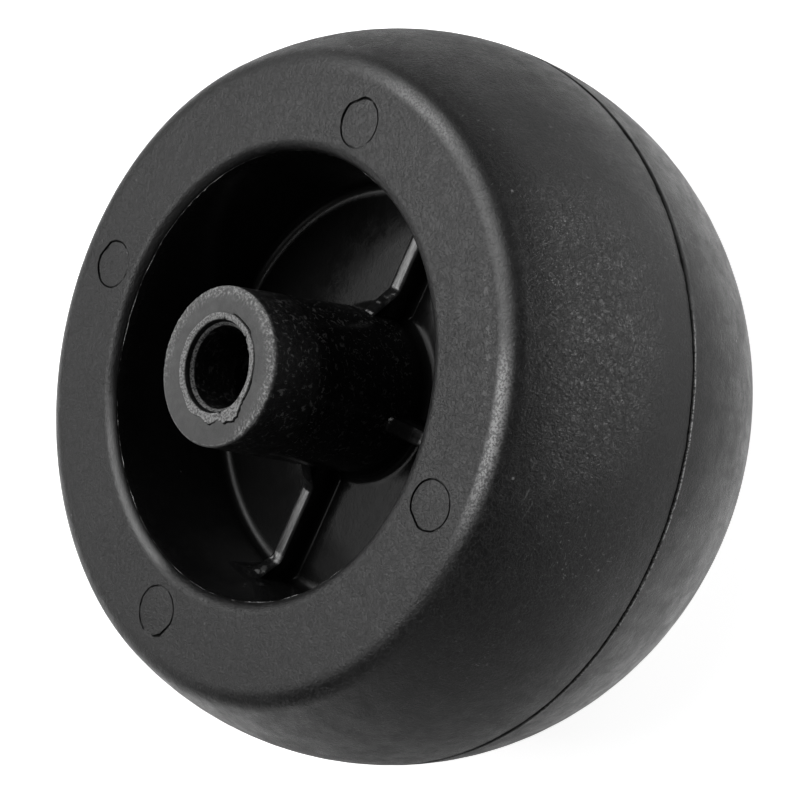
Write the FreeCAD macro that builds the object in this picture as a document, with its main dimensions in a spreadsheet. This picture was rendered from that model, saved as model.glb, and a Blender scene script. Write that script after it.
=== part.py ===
import FreeCAD, Part
import math
import os
import Sketcher

# Moulded wheel that carries a mower deck, one solid about the Z axis, in millimetres.
# It lies on its back rim face at Z = 0, and the long end of its hub points up.

# Driving dimensions: name, value, what it is
DIMENSIONS = (
    ("wheel_diameter", 127.0, "over the tread, at the parting line"),
    ("wheel_width", 64.0, "from rim face to rim face"),
    ("crown_radius", 56.0, "arc of the tread's section"),
    ("shoulder_radius", 4.5, "rounding from rim face to tread"),
    ("mouth_diameter", 74.6, "recess where it meets the rim face"),
    ("mouth_radius", 2.0, "rounding of the recess mouth"),
    ("recess_draft", 2.0, "taper of the recess wall, degrees"),
    ("web_thickness", 12.0, "disc between hub and rim"),
    ("floor_radius", 1.6, "rounding from recess wall to web"),
    ("hub_diameter", 26.2, "hub at its front end"),
    ("hub_draft", 2.0, "taper of the hub's outside, degrees"),
    ("hub_proud", 9.25, "hub's front end beyond the rim face"),
    ("hub_inset", 0.5, "hub's back end below the rim face"),
    ("hub_root_radius", 2.0, "rounding from hub to web"),
    ("hub_edge_radius", 0.5, "rounding of the hub's ends"),
    ("axle_diameter", 12.7, "bolt that the wheel turns on"),
    ("axle_clearance", 0.9, "bore over axle, on the diameter"),
    ("lead_in_depth", 0.75, "step at each end of the bore"),
    ("lead_in_ledge", 0.5, "sloping ledge at the foot of that step, across"),
    ("lead_in_drop", 0.5, "sloping ledge, down to the bore"),
    ("lead_in_flare", 0.3, "widening of that step to its mouth"),
    ("rib_count", 4, "ribs on each side of the web"),
    ("rib_height", 4.4, "rib top above the web"),
    ("rib_top_width", 2.6, "rib at its top"),
    ("rib_root_width", 4.0, "rib at the web, its rounding left out"),
    ("rib_root_radius", 1.0, "rounding from rib to web"),
    ("hub_gusset_reach", 4.4, "foot of the inner gusset, from the hub"),
    ("hub_gusset_angle", 38.0, "slope of the inner gusset, degrees"),
    ("wall_gusset_reach", 3.2, "foot of the outer gusset, from the wall"),
    ("wall_gusset_angle", 45.0, "slope of the outer gusset, degrees"),
    ("mark_count", 4, "ejector-pin marks on the front rim face"),
    ("mark_diameter", 9.0, "one ejector-pin mark"),
    ("mark_pitch_diameter", 89.0, "circle that the marks lie on"),
    ("mark_depth", 0.15, "ejector-pin mark below the face"),
)

size = {name: value for name, value, note in DIMENSIONS}

# Heights and radii that several features share, as formulas of the sheet
FRONT_FACE = "Dimensions.wheel_width"
WEB_FRONT = "(Dimensions.wheel_width + Dimensions.web_thickness) / 2"
WEB_BACK = "(Dimensions.wheel_width - Dimensions.web_thickness) / 2"
RIB_FRONT = WEB_FRONT + " + Dimensions.rib_height"
RIB_BACK = WEB_BACK + " - Dimensions.rib_height"
HUB_FRONT = "Dimensions.wheel_width + Dimensions.hub_proud"
HUB_BACK = "Dimensions.hub_inset"
RIB_LEAN = "atan(2 * Dimensions.rib_height / (Dimensions.rib_root_width - Dimensions.rib_top_width))"
RIB_ROUND_REACH = "Dimensions.rib_root_radius * tan(" + RIB_LEAN + " / 2)"
MOUTH = "Dimensions.mouth_diameter / 2"
RECESS_DEPTH = "(Dimensions.wheel_width - Dimensions.web_thickness) / 2"
RECESS_ROOT = MOUTH + " - " + RECESS_DEPTH + " * tan(Dimensions.recess_draft)"
HUB_END = "Dimensions.hub_diameter / 2"
HUB_ROOT = HUB_END + " + (" + HUB_FRONT + " - " + WEB_FRONT + ") * tan(Dimensions.hub_draft)"
HUB_BACK_END = HUB_ROOT + " - (" + WEB_BACK + " - " + HUB_BACK + ") * tan(Dimensions.hub_draft)"
HUB_FOOT = HUB_ROOT + " + Dimensions.hub_gusset_reach"
WALL_FOOT = RECESS_ROOT + " - Dimensions.wall_gusset_reach"
HUB_GUSSET_RISE = "(" + HUB_FOOT + " - " + HUB_END + ") * tan(Dimensions.hub_gusset_angle)"
WALL_GUSSET_RISE = "(" + MOUTH + " - " + WALL_FOOT + ") * tan(Dimensions.wall_gusset_angle)"
BORE = "(Dimensions.axle_diameter + Dimensions.axle_clearance) / 2"
THROAT = BORE + " + Dimensions.lead_in_ledge"
LEAD_IN = THROAT + " + Dimensions.lead_in_flare"

# A sketch's origin, and the numbers that a sketch gives to the points of a line or an arc
ORIGIN = (-1, 1)
START, END, CENTRE = 1, 2, 3


def fill_sheet(doc):
    """Writes the driving dimensions, one a row, each with its name as alias."""
    sheet = doc.addObject("Spreadsheet::Sheet", "Dimensions")
    for row, (name, value, note) in enumerate(DIMENSIONS, 1):
        sheet.set("A%d" % row, name)
        sheet.set("B%d" % row, str(value))
        sheet.set("C%d" % row, note)
        sheet.setAlias("B%d" % row, name)
    doc.recompute()
    return sheet


def origin_feature(body, role):
    """One of the body's own origin planes or axes."""
    for feature in body.Origin.OriginFeatures:
        if feature.Role == role:
            return feature
    raise ValueError("no origin feature " + role)


def new_sketch(body, name, plane):
    """An empty sketch on one of the body's origin planes."""
    sketch = body.newObject("Sketcher::SketchObject", name)
    sketch.AttachmentSupport = [(origin_feature(body, plane), "")]
    sketch.MapMode = "FlatFace"
    return sketch


def bind(sketch, kind, first, second, formula):
    """A dimension between two points of a sketch, held by a formula of the sheet."""
    value = float(sketch.evalExpression(formula))
    index = sketch.addConstraint(Sketcher.Constraint(kind, *first, *second, value))
    sketch.setExpression("Constraints[%d]" % index, formula)


def place(sketch, point, across, up):
    """Holds a point of a sketch at formulas across and up from the sketch's origin."""
    bind(sketch, "DistanceX", ORIGIN, point, across)
    bind(sketch, "DistanceY", ORIGIN, point, up)


def join(sketch, first, second):
    """Makes two ends meet."""
    sketch.addConstraint(Sketcher.Constraint("Coincident", *first, *second))


def places(sketch, corners):
    """Where formulas, across and up, put the corners of an outline."""
    return [FreeCAD.Vector(sketch.evalExpression(across), sketch.evalExpression(up), 0) for across, up in corners]


def polygon(sketch, corners, hollows=None):
    """A closed outline whose corners are formulas, across and up; hollows are its sides that are arcs."""
    hollows = hollows or {}
    count = len(corners)
    outline = places(sketch, corners)
    for number in range(count):
        side = Part.LineSegment(outline[number], outline[(number + 1) % count])
        sketch.addGeometry(hollows.get(number, side), False)

    # An arc runs against the outline where it is hollow, so its ends change places
    first = [(number, END if number in hollows else START) for number in range(count)]
    last = [(number, START if number in hollows else END) for number in range(count)]
    for number in range(count):
        join(sketch, last[number], first[(number + 1) % count])
    for point, (across, up) in zip(first, corners):
        place(sketch, point, across, up)


def wheel_section(body):
    """Half section of the moulding with sharp corners, from the axis out to the tread and back."""
    sketch = new_sketch(body, "wheel_section", "XZ_Plane")
    half_width = size["wheel_width"] / 2
    reach = math.asin(half_width / size["crown_radius"])
    centre = FreeCAD.Vector(size["wheel_diameter"] / 2 - size["crown_radius"], half_width, 0)
    circle = Part.Circle(centre, FreeCAD.Vector(0, 0, 1), size["crown_radius"])
    crown = sketch.addGeometry(Part.ArcOfCircle(circle, -reach, reach), False)
    back_edge = sketch.Geometry[crown].StartPoint
    front_edge = sketch.Geometry[crown].EndPoint

    # Corners from the front rim face inwards, and out again along the back one
    corners = (
        (MOUTH, FRONT_FACE),
        (RECESS_ROOT, WEB_FRONT),
        (HUB_ROOT, WEB_FRONT),
        (HUB_END, HUB_FRONT),
        ("0", HUB_FRONT),
        ("0", HUB_BACK),
        (HUB_BACK_END, HUB_BACK),
        (HUB_ROOT, WEB_BACK),
        (RECESS_ROOT, WEB_BACK),
        (MOUTH, "0"),
    )
    outline = [front_edge] + places(sketch, corners) + [back_edge]
    lines = []
    for here, there in zip(outline, outline[1:]):
        lines.append(sketch.addGeometry(Part.LineSegment(here, there), False))
    join(sketch, (crown, END), (lines[0], START))
    for here, there in zip(lines, lines[1:]):
        join(sketch, (here, END), (there, START))
    join(sketch, (lines[-1], END), (crown, START))
    for line, (across, up) in zip(lines, corners):
        place(sketch, (line, END), across, up)

    # The crown: both ends on the rim faces, full diameter at the parting line halfway between them
    bind(sketch, "DistanceY", ORIGIN, (crown, END), FRONT_FACE)
    bind(sketch, "DistanceY", ORIGIN, (crown, START), "0")
    crown_across = "Dimensions.wheel_diameter / 2 - Dimensions.crown_radius"
    place(sketch, (crown, CENTRE), crown_across, "Dimensions.wheel_width / 2")
    index = sketch.addConstraint(Sketcher.Constraint("Radius", crown, size["crown_radius"]))
    sketch.setExpression("Constraints[%d]" % index, "Dimensions.crown_radius")
    return sketch


def round_corners(doc, body, name, corners, dimension):
    """Rounds the circular edges that the given corners of the section have drawn."""
    doc.recompute()
    base = body.Tip
    edges = []
    for number, edge in enumerate(base.Shape.Edges, 1):
        if not isinstance(edge.Curve, Part.Circle):
            continue
        radius = edge.Curve.Radius
        height = edge.Curve.Center.z
        if any(math.hypot(radius - corner.x, height - corner.y) < 0.001 for corner in corners):
            edges.append("Edge%d" % number)
    if len(edges) != len(corners):
        raise ValueError("%s: %d edges for %d corners" % (name, len(edges), len(corners)))
    fillet = body.newObject("PartDesign::Fillet", name)
    fillet.Base = (base, edges)
    fillet.setExpression("Radius", "Dimensions." + dimension)
    return fillet


def add_blank(doc, body):
    """The turned form: rim, web and hub, with their rounded corners."""
    section = wheel_section(body)
    blank = body.newObject("PartDesign::Revolution", "wheel_blank")
    blank.Profile = section
    blank.ReferenceAxis = (section, ["V_Axis"])
    blank.Angle = 360
    doc.recompute()
    point = [line.StartPoint for line in section.Geometry[1:]] + [section.Geometry[0].StartPoint]
    shoulder, mouth, floor, root, end = point[:5]
    back_end, back_root, back_floor, back_mouth, back_shoulder = point[-5:]
    round_corners(doc, body, "shoulders", (shoulder, back_shoulder), "shoulder_radius")
    round_corners(doc, body, "recess_mouths", (mouth, back_mouth), "mouth_radius")
    round_corners(doc, body, "recess_floors", (floor, back_floor), "floor_radius")
    round_corners(doc, body, "hub_roots", (root, back_root), "hub_root_radius")
    round_corners(doc, body, "hub_ends", (end, back_end), "hub_edge_radius")


def add_pattern(body, name, features, count):
    """Repeats features evenly around the axle."""
    pattern = body.newObject("PartDesign::PolarPattern", name)
    pattern.Originals = features
    pattern.Axis = (origin_feature(body, "Z_Axis"), [""])
    pattern.Angle = 360
    pattern.setExpression("Occurrences", "Dimensions." + count)
    body.Tip = pattern


def rib_section(body):
    """Section across a rib: drafted flanks, with a hollow rounding from each flank to the web."""
    top = "Dimensions.rib_top_width / 2"
    side = "(Dimensions.rib_root_width / 2 - " + RIB_ROUND_REACH + " * cos(" + RIB_LEAN + "))"
    foot = "(Dimensions.rib_root_width / 2 + " + RIB_ROUND_REACH + ")"
    rise = RIB_ROUND_REACH + " * sin(" + RIB_LEAN + ")"
    corners = (
        (top, RIB_FRONT),
        ("-" + top, RIB_FRONT),
        ("-" + side, WEB_FRONT + " + " + rise),
        ("-" + foot, WEB_FRONT),
        ("-" + foot, WEB_BACK),
        ("-" + side, WEB_BACK + " - " + rise),
        ("-" + top, RIB_BACK),
        (top, RIB_BACK),
        (side, WEB_BACK + " - " + rise),
        (foot, WEB_BACK),
        (foot, WEB_FRONT),
        (side, WEB_FRONT + " + " + rise),
    )

    # First guesses of the four roundings: number of the side, centre, start and end angle
    radius = size["rib_root_radius"]
    lean = math.atan2(2 * size["rib_height"], size["rib_root_width"] - size["rib_top_width"])
    away = size["rib_root_width"] / 2 + radius * math.tan(lean / 2)
    middle = size["wheel_width"] / 2
    high = size["web_thickness"] / 2 + radius
    tip = math.pi / 2 - lean
    hollows = {}
    for number, across, up, start in (
        (2, -away, middle + high, -math.pi / 2),
        (4, -away, middle - high, tip),
        (8, away, middle - high, math.pi / 2),
        (10, away, middle + high, math.pi + tip),
    ):
        circle = Part.Circle(FreeCAD.Vector(across, up, 0), FreeCAD.Vector(0, 0, 1), radius)
        hollows[number] = Part.ArcOfCircle(circle, start, start + lean)
    sketch = new_sketch(body, "rib_section", "YZ_Plane")
    polygon(sketch, corners, hollows)
    for number in hollows:
        index = sketch.addConstraint(Sketcher.Constraint("Radius", number, radius))
        sketch.setExpression("Constraints[%d]" % index, "Dimensions.rib_root_radius")
    return sketch


def add_ribs(doc, body):
    """Ribs from hub to rim on both faces of the web, with a gusset at each end."""
    rib = body.newObject("PartDesign::Pad", "rib")
    rib.Profile = rib_section(body)
    rib.setExpression("Length", MOUTH)

    side = new_sketch(body, "gusset_side", "XZ_Plane")
    polygon(side, (
        (HUB_END, RIB_FRONT + " + " + HUB_GUSSET_RISE),
        (HUB_FOOT, RIB_FRONT),
        (WALL_FOOT, RIB_FRONT),
        (MOUTH, RIB_FRONT + " + " + WALL_GUSSET_RISE),
        (MOUTH, RIB_BACK + " - " + WALL_GUSSET_RISE),
        (WALL_FOOT, RIB_BACK),
        (HUB_FOOT, RIB_BACK),
        (HUB_END, RIB_BACK + " - " + HUB_GUSSET_RISE),
    ))
    gussets = body.newObject("PartDesign::Pad", "rib_gussets")
    gussets.Profile = side
    gussets.Midplane = True
    gussets.setExpression("Length", "Dimensions.rib_top_width")
    doc.recompute()
    add_pattern(body, "ribs", [rib, gussets], "rib_count")


def add_marks(doc, body):
    """Ejector-pin marks, shallow discs in the front rim face in line with the ribs."""
    face = new_sketch(body, "mark_outline", "XY_Plane")
    face.setExpression("AttachmentOffset.Base.z", FRONT_FACE)
    normal = FreeCAD.Vector(0, 0, 1)
    start = FreeCAD.Vector(size["mark_pitch_diameter"] / 2, 0, 0)
    ring = face.addGeometry(Part.Circle(start, normal, size["mark_diameter"] / 2), False)
    place(face, (ring, CENTRE), "Dimensions.mark_pitch_diameter / 2", "0")
    index = face.addConstraint(Sketcher.Constraint("Diameter", ring, size["mark_diameter"]))
    face.setExpression("Constraints[%d]" % index, "Dimensions.mark_diameter")
    mark = body.newObject("PartDesign::Pocket", "ejector_mark")
    mark.Profile = face
    mark.setExpression("Length", "Dimensions.mark_depth")
    doc.recompute()
    add_pattern(body, "ejector_marks", [mark], "mark_count")


def add_bore(body):
    """Through bore for the axle, with a flared step and a sloping ledge at each end."""
    section = new_sketch(body, "bore_section", "XZ_Plane")
    back_ledge = HUB_BACK + " + Dimensions.lead_in_depth"
    back_bore = back_ledge + " + Dimensions.lead_in_drop"
    front_ledge = HUB_FRONT + " - Dimensions.lead_in_depth"
    front_bore = front_ledge + " - Dimensions.lead_in_drop"
    polygon(section, (
        ("0", HUB_BACK),
        (LEAD_IN, HUB_BACK),
        (THROAT, back_ledge),
        (BORE, back_bore),
        (BORE, front_bore),
        (THROAT, front_ledge),
        (LEAD_IN, HUB_FRONT),
        ("0", HUB_FRONT),
    ))
    bore = body.newObject("PartDesign::Groove", "axle_bore")
    bore.Profile = section
    bore.ReferenceAxis = (section, ["V_Axis"])
    bore.Angle = 360


def check(doc, body):
    """Stops before anything is written if a feature has failed or cut nothing."""
    for item in doc.Objects:
        if "Invalid" in item.State or "Error" in item.State:
            raise ValueError(item.Name + " failed")
        if item.TypeId == "Sketcher::SketchObject" and not item.FullyConstrained:
            raise ValueError(item.Name + " has corners that no dimension holds")
    shape = body.Shape
    if shape.isNull() or not shape.isValid() or len(shape.Solids) != 1:
        raise ValueError(body.Label + " is not one valid solid")
    for name in ("ejector_mark", "axle_bore"):
        feature = doc.getObject(name)
        if feature.Shape.Volume >= feature.BaseFeature.Shape.Volume:
            raise ValueError(name + " removed nothing")


def main():
    doc = FreeCAD.newDocument("deck_wheel")
    fill_sheet(doc)
    wheel = doc.addObject("PartDesign::Body", "wheel")
    wheel.Label = "deck_wheel"
    wheel.Placement = FreeCAD.Placement()
    add_blank(doc, wheel)
    add_ribs(doc, wheel)
    add_marks(doc, wheel)
    add_bore(wheel)
    doc.recompute()
    check(doc, wheel)
    os.makedirs("parts", exist_ok=True)
    wheel.Shape.exportStep("parts/" + wheel.Label + ".step")
    print("%s: %.1f cm3" % (wheel.Label, wheel.Shape.Volume / 1000))


main()
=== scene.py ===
import math
from functools import reduce

import bpy
import numpy as np
from mathutils import Matrix, Vector, noise
from mathutils.geometry import delaunay_2d_cdt


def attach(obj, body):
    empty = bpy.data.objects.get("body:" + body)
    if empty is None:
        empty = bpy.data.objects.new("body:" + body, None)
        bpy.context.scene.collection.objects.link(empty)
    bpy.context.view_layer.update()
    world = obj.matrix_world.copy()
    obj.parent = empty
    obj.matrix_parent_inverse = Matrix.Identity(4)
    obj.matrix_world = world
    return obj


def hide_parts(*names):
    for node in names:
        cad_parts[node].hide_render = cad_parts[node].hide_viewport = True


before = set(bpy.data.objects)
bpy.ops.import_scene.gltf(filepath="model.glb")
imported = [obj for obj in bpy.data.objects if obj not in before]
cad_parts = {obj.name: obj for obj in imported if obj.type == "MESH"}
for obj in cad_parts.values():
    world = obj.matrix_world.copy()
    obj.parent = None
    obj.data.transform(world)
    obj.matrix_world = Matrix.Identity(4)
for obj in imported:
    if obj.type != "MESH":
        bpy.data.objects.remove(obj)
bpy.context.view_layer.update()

# Looks of a moulded mower deck wheel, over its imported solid.
# The skin is worked out in millimetres about the Z axis and turned into metres at the end.

MM = 0.001
TINY = 1e-6
FULL_TURN = 2 * math.pi

# Section of the moulding
WIDTH = 64.0
TREAD_R = 63.5
CROWN_R = 56.0
SHOULDER_R = 4.5
MOUTH_R = 37.3
MOUTH_ROUND = 2.0
DRAFT_DEGREES = 2.0
DRAFT = math.radians(DRAFT_DEGREES)
MOUTH_TURN = 90 - DRAFT_DEGREES
WEB_FRONT = 38.0
FLOOR_ROUND = 1.6
HUB_R = 13.1
HUB_FRONT = 73.25
HUB_BACK = 0.5
HUB_ROOT_ROUND = 2.0
HUB_EDGE_ROUND = 0.5
BORE_R = 6.8
THROAT_R = 7.3
LEAD_IN_R = 7.6
LEAD_IN_DEPTH = 0.75
LEAD_IN_DROP = 0.5

# Ribs
RIB_COUNT = 4
RIB_HEIGHT = 4.4
RIB_TOP = 1.3
RIB_FOOT = 2.0
RIB_ROOT_ROUND = 1.0
RIB_EDGE_ROUND = 0.75
RIB_EDGE_DROP = 0.36
RIB_EDGE = RIB_TOP + RIB_EDGE_DROP * (RIB_FOOT - RIB_TOP) / RIB_HEIGHT
HUB_GUSSET_REACH = 4.4
HUB_GUSSET_SLOPE = math.tan(math.radians(38.0))
WALL_GUSSET_REACH = 3.2
WALL_GUSSET_SLOPE = math.tan(math.radians(45.0))
NO_RIB = -50.0

# Points around the tread, around the hub's ends, around a pin mark, and between two ribs
TREAD_STEPS = 640
END_STEPS = 380
MARK_STEPS = 120
GAP_STEPS = 20

# Steps along the roundings and along each half of the crown
MOUTH_STEPS = 9
FLOOR_STEPS = 7
ROOT_STEPS = 7
SHOULDER_STEPS = 8
EDGE_STEPS = 6
BACK_EDGE_STEPS = 5
CROWN_STEPS = 10

# Rings down the recess wall, across the web, up the hub's side and down the bore, closer where ribs begin
WALL_HEIGHTS = (
    60.5, 58.0, 55.0, 52.0, 49.5, 48.0, 47.2, 46.6,
    46.2, 45.9, 45.6, 45.0, 44.0, 42.8, 41.4, 40.4,
)
WEB_RADII = (
    34.4, 33.8, 33.3, 32.8, 32.0, 31.0, 29.5, 28.0, 26.5, 25.0,
    23.5, 22.0, 20.7, 19.7, 19.1, 18.6, 18.0, 17.3, 16.8,
)
HUB_HEIGHTS = (40.8, 41.8, 42.8, 43.8, 44.8, 45.4, 45.9, 46.2, 46.5, 47.0, 48.0, 50.0, 54.0, 59.0)
HUB_END_HEIGHTS = (66.0, 70.0, 71.5, 72.2)
BORE_HEIGHTS = (66.0, 50.0, 36.0, 22.0, 8.0)
BORE_GAP = 0.4

# How a rib's section is cut into strips, as distances from its middle
HALF_STRIPS = (
    0.6, 0.8, 1.0, 1.16, 1.29, RIB_EDGE, 1.43, 1.52, 1.65,
    1.8, 1.92, 2.05, 2.25, 2.5, 2.8, 3.2, 3.8, 4.5,
)
STRIPS = tuple(-t for t in reversed(HALF_STRIPS)) + (0.0,) + HALF_STRIPS

# Flat strips beside the roundings keep the shading of the rim faces flat
SHOULDER_STRIP = 0.5
MOUTH_STRIP = 0.15
SHARP_ANGLE = math.radians(40)

# Derived places in the section
slope = math.tan(DRAFT)
recess_root = MOUTH_R - (WIDTH - WEB_FRONT) * slope
hub_root = HUB_R + (HUB_FRONT - WEB_FRONT) * slope
hub_back_end = hub_root - (WIDTH - WEB_FRONT - HUB_BACK) * slope
hub_foot = hub_root + HUB_GUSSET_REACH
wall_foot = recess_root - WALL_GUSSET_REACH
crown_middle = TREAD_R - CROWN_R
parting = WIDTH / 2


def even_angles(count):
    """So many angles, evenly around a turn."""
    return np.arange(count) * FULL_TURN / count


def ripple(angles, waves, seed):
    """Smooth random values around a circle, about -1 to 1, with so many waves in a turn."""
    reach = waves / FULL_TURN
    spots = ((reach * math.cos(a), reach * math.sin(a), seed) for a in angles)
    return np.array([1.6 * noise.noise(Vector(spot)) for spot in spots])


def ripples(angles, parts, shift=0):
    """Sum of ripples, each given by its size, waves and seed; the seeds can be shifted."""
    return sum(size * ripple(angles, waves, seed + shift) for size, waves, seed in parts)


def hump(angles, middle, half):
    """One smooth hump around a circle, 1 at its middle and 0 from half away; both in degrees."""
    away = np.abs((np.degrees(angles) - middle + 180) % 360 - 180)
    return np.where(away < half, 0.5 + 0.5 * np.cos(np.pi * np.clip(away / half, 0, 1)), 0.0)


def humps(angles, parts):
    """Sum of humps, each given by its size, middle and half width."""
    return sum(size * hump(angles, middle, half) for size, middle, half in parts)


def stretch(angles, start, stop, fade):
    """1 from start to stop in degrees, counted upwards, fading out beyond both ends."""
    middle = (start + stop) / 2
    half = (stop - start) / 2
    away = np.abs((np.degrees(angles) - middle + 180) % 360 - 180)
    return np.clip((half + fade - away) / fade, 0, 1)


def stretches(angles, parts):
    """Sum of stretches, each given by its size, start, stop and fade."""
    return sum(size * stretch(angles, start, stop, fade) for size, start, stop, fade in parts)


def lumps(radius, angles, height, scale, shift=0.0):
    """Smooth random values at the points of a ring, finer with a larger scale."""
    reach = scale * radius
    up = scale * height + shift
    spots = ((reach * math.cos(a), reach * math.sin(a), up) for a in angles)
    return np.array([noise.noise(Vector(spot)) for spot in spots])


def arc(across, up, radius, start, stop, steps):
    """Points of an arc in the section, from start to stop degrees."""
    turns = np.radians(np.linspace(start, stop, steps + 1))
    return [(across + radius * math.cos(a), up + radius * math.sin(a)) for a in turns]


class Skin:
    """Points and faces of one closed mesh, with how light each point is painted, for trimmed flash, scuffs
    and painted highlights, and how dark, for painted shade in creases.
    """

    def __init__(self):
        self.points = []
        self.trim_and_highlight = []
        self.crease_shade = []
        self.faces = []

    def ring(self, radius, angles, height, trim_and_highlight=0.0, crease_shade=0.0):
        """Adds a ring of points and returns it as numbers with their angles."""
        count = len(angles)
        first = len(self.points)
        radius = np.broadcast_to(radius, count)
        height = np.broadcast_to(height, count)
        self.points.extend(zip(radius * np.cos(angles), radius * np.sin(angles), height))
        self.trim_and_highlight.extend(np.broadcast_to(trim_and_highlight, count))
        self.crease_shade.extend(np.broadcast_to(crease_shade, count))
        return list(range(first, first + count)), angles

    def radius(self, ring):
        """Radius of a ring's first point."""
        x, y, _ = self.points[ring[0][0]]
        return math.hypot(x, y)

    def join(self, ring, other):
        """Faces between two rings; the outside is on the left of the way from one to the other."""
        here, angles_here = ring
        there, angles_there = other
        count = len(here)
        total = len(there)
        if count == total:
            for i in range(count):
                k = (i + 1) % count
                self.faces.append((here[i], here[k], there[k], there[i]))
            return
        i = j = 0
        while i < count or j < total:
            next_here = angles_here[(i + 1) % count] + FULL_TURN * ((i + 1) // count)
            next_there = angles_there[(j + 1) % total] + FULL_TURN * ((j + 1) // total)
            if j >= total or (i < count and next_here <= next_there):
                self.faces.append((here[i % count], here[(i + 1) % count], there[j % total]))
                i += 1
            else:
                self.faces.append((here[i % count], there[(j + 1) % total], there[j % total]))
                j += 1

    def chain(self, rings):
        """Joins each ring to the next."""
        for ring, other in zip(rings, rings[1:]):
            self.join(ring, other)


def columns(radius):
    """Angles that run parallel to the ribs beside them, and evenly in between."""
    quarter = FULL_TURN / RIB_COUNT
    angles = []
    for number in range(RIB_COUNT):
        middle = number * quarter
        for strip in STRIPS:
            angles.append(middle + math.asin(strip / radius))
        start = middle + math.asin(STRIPS[-1] / radius)
        stop = middle + quarter + math.asin(STRIPS[0] / radius)
        for step in range(1, GAP_STEPS + 1):
            angles.append(start + (stop - start) * step / (GAP_STEPS + 1))
    return np.array(angles)


def rib_rise(radius, angles):
    """Height of the ribs' surface above the web, far below it where there is no rib."""
    quarter = FULL_TURN / RIB_COUNT
    off = (angles + quarter / 2) % quarter - quarter / 2
    away = np.abs(radius * np.sin(off))
    hub_gusset = (hub_foot - radius) * HUB_GUSSET_SLOPE
    wall_gusset = (radius - wall_foot) * WALL_GUSSET_SLOPE
    crest = RIB_HEIGHT + max(0.0, hub_gusset, wall_gusset)
    rounded = np.clip(away - RIB_EDGE + RIB_EDGE_ROUND, 0, None) / RIB_EDGE_ROUND
    top = crest - RIB_EDGE_DROP * rounded ** 2
    lean = math.atan2(RIB_HEIGHT, RIB_FOOT - RIB_TOP)
    reach = RIB_ROOT_ROUND * math.tan(lean / 2)
    flank = RIB_HEIGHT * (RIB_FOOT - away) / (RIB_FOOT - RIB_TOP)
    inside = np.clip(RIB_ROOT_ROUND ** 2 - (RIB_FOOT + reach - away) ** 2, 0, None)
    root = RIB_ROOT_ROUND - np.sqrt(inside)
    arc_start = RIB_FOOT - reach * math.cos(lean)
    side = np.where(away < arc_start, flank, np.where(away < RIB_FOOT + reach, root, NO_RIB))
    return np.where(away <= RIB_EDGE + TINY, top, side)


def recess_section(mouth_turn):
    """Section of the mouth, and of the wall, the web and the hub's root after it."""
    lean_out = math.cos(DRAFT)
    foot = WIDTH - MOUTH_ROUND + MOUTH_ROUND * math.sin(DRAFT)
    mouth_middle = MOUTH_R - (WIDTH - foot) * slope + MOUTH_ROUND * lean_out
    mouth = arc(mouth_middle, WIDTH - MOUTH_ROUND, MOUTH_ROUND, 90, 90 + mouth_turn, MOUTH_STEPS)

    wall = [(MOUTH_R - (WIDTH - z) * slope, z) for z in WALL_HEIGHTS]
    foot = WEB_FRONT + FLOOR_ROUND - FLOOR_ROUND * math.sin(DRAFT)
    floor_middle = MOUTH_R - (WIDTH - foot) * slope - FLOOR_ROUND * lean_out
    floor = arc(floor_middle, WEB_FRONT + FLOOR_ROUND, FLOOR_ROUND, -DRAFT_DEGREES, -90, FLOOR_STEPS)

    web = [(r, WEB_FRONT) for r in WEB_RADII]
    foot = WEB_FRONT + HUB_ROOT_ROUND - HUB_ROOT_ROUND * math.sin(DRAFT)
    root_middle = hub_root - (foot - WEB_FRONT) * slope + HUB_ROOT_ROUND * lean_out
    root_up = WEB_FRONT + HUB_ROOT_ROUND
    root = arc(root_middle, root_up, HUB_ROOT_ROUND, 270, 180 + DRAFT_DEGREES, ROOT_STEPS)
    return mouth, wall + floor + web + root


def hub_side(heights):
    """Section of the hub's drafted side."""
    return [(hub_root - (z - WEB_FRONT) * slope, z) for z in heights]


# Thin broken flash at the front recess mouth, where two mould parts met before the end of the rounding.
# Painted shade darkens the crease where the rounding ends, and the flash's top carries a painted highlight.
# Its size has a plain and a wild part, each with what is added where it is strong.
FLASH_TURN = 74
FLASH_WAVES = ((0.8, 230, 3.1), (0.8, 70, 8.3), (0.5, 19, 2.3))
FLASH_STRONG = ((1.0, 52, 108, 5), (1.0, 127, 152, 4), (0.5, -169, -122, 6))
FLASH_PLAIN = (0.15, 0.55)
FLASH_WILD = (0.3, 0.5)
FLASH_LIMITS = (0.03, 1.5)
FLASH_DROP = ((0.06, 90, 1.7),)
FLASH_CREASE_SHADE = 0.8

# Rings of the flash: how far out at its full size and how far down, then its foot and the plain wall below
FLASH_RINGS = ((0.17, 0.02), (0.14, 0.12))
FLASH_FOOT = (0.02, 0.24)
FLASH_BELOW = 0.8


def add_front_mouth(skin, mouth):
    """Rings of the front recess mouth and of the flash at its end, with painted shade and a painted
    highlight.
    """
    angles = even_angles(TREAD_STEPS)
    rings = [skin.ring(radius, angles, height) for radius, height in mouth[:-1]]
    radius, height = mouth[-1]
    # Painted shade in the crease at the rounding's end
    rings.append(skin.ring(radius, angles, height, 0.0, FLASH_CREASE_SHADE))

    strong = stretches(angles, FLASH_STRONG)
    plain = FLASH_PLAIN[0] + FLASH_PLAIN[1] * strong
    fin = plain + (FLASH_WILD[0] + FLASH_WILD[1] * strong) * ripples(angles, FLASH_WAVES)
    fin = np.clip(fin, *FLASH_LIMITS)
    drop = ripples(angles, FLASH_DROP)
    # The flash's top is painted light by its size, a painted highlight
    for out, down in FLASH_RINGS:
        rings.append(skin.ring(radius - out * fin, angles, height - down + drop, fin))
    rings.append(skin.ring(radius - FLASH_FOOT[0], angles, height - FLASH_FOOT[1] + drop))
    rings.append(skin.ring(radius - FLASH_BELOW * slope, angles, height - FLASH_BELOW))
    return rings


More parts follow.
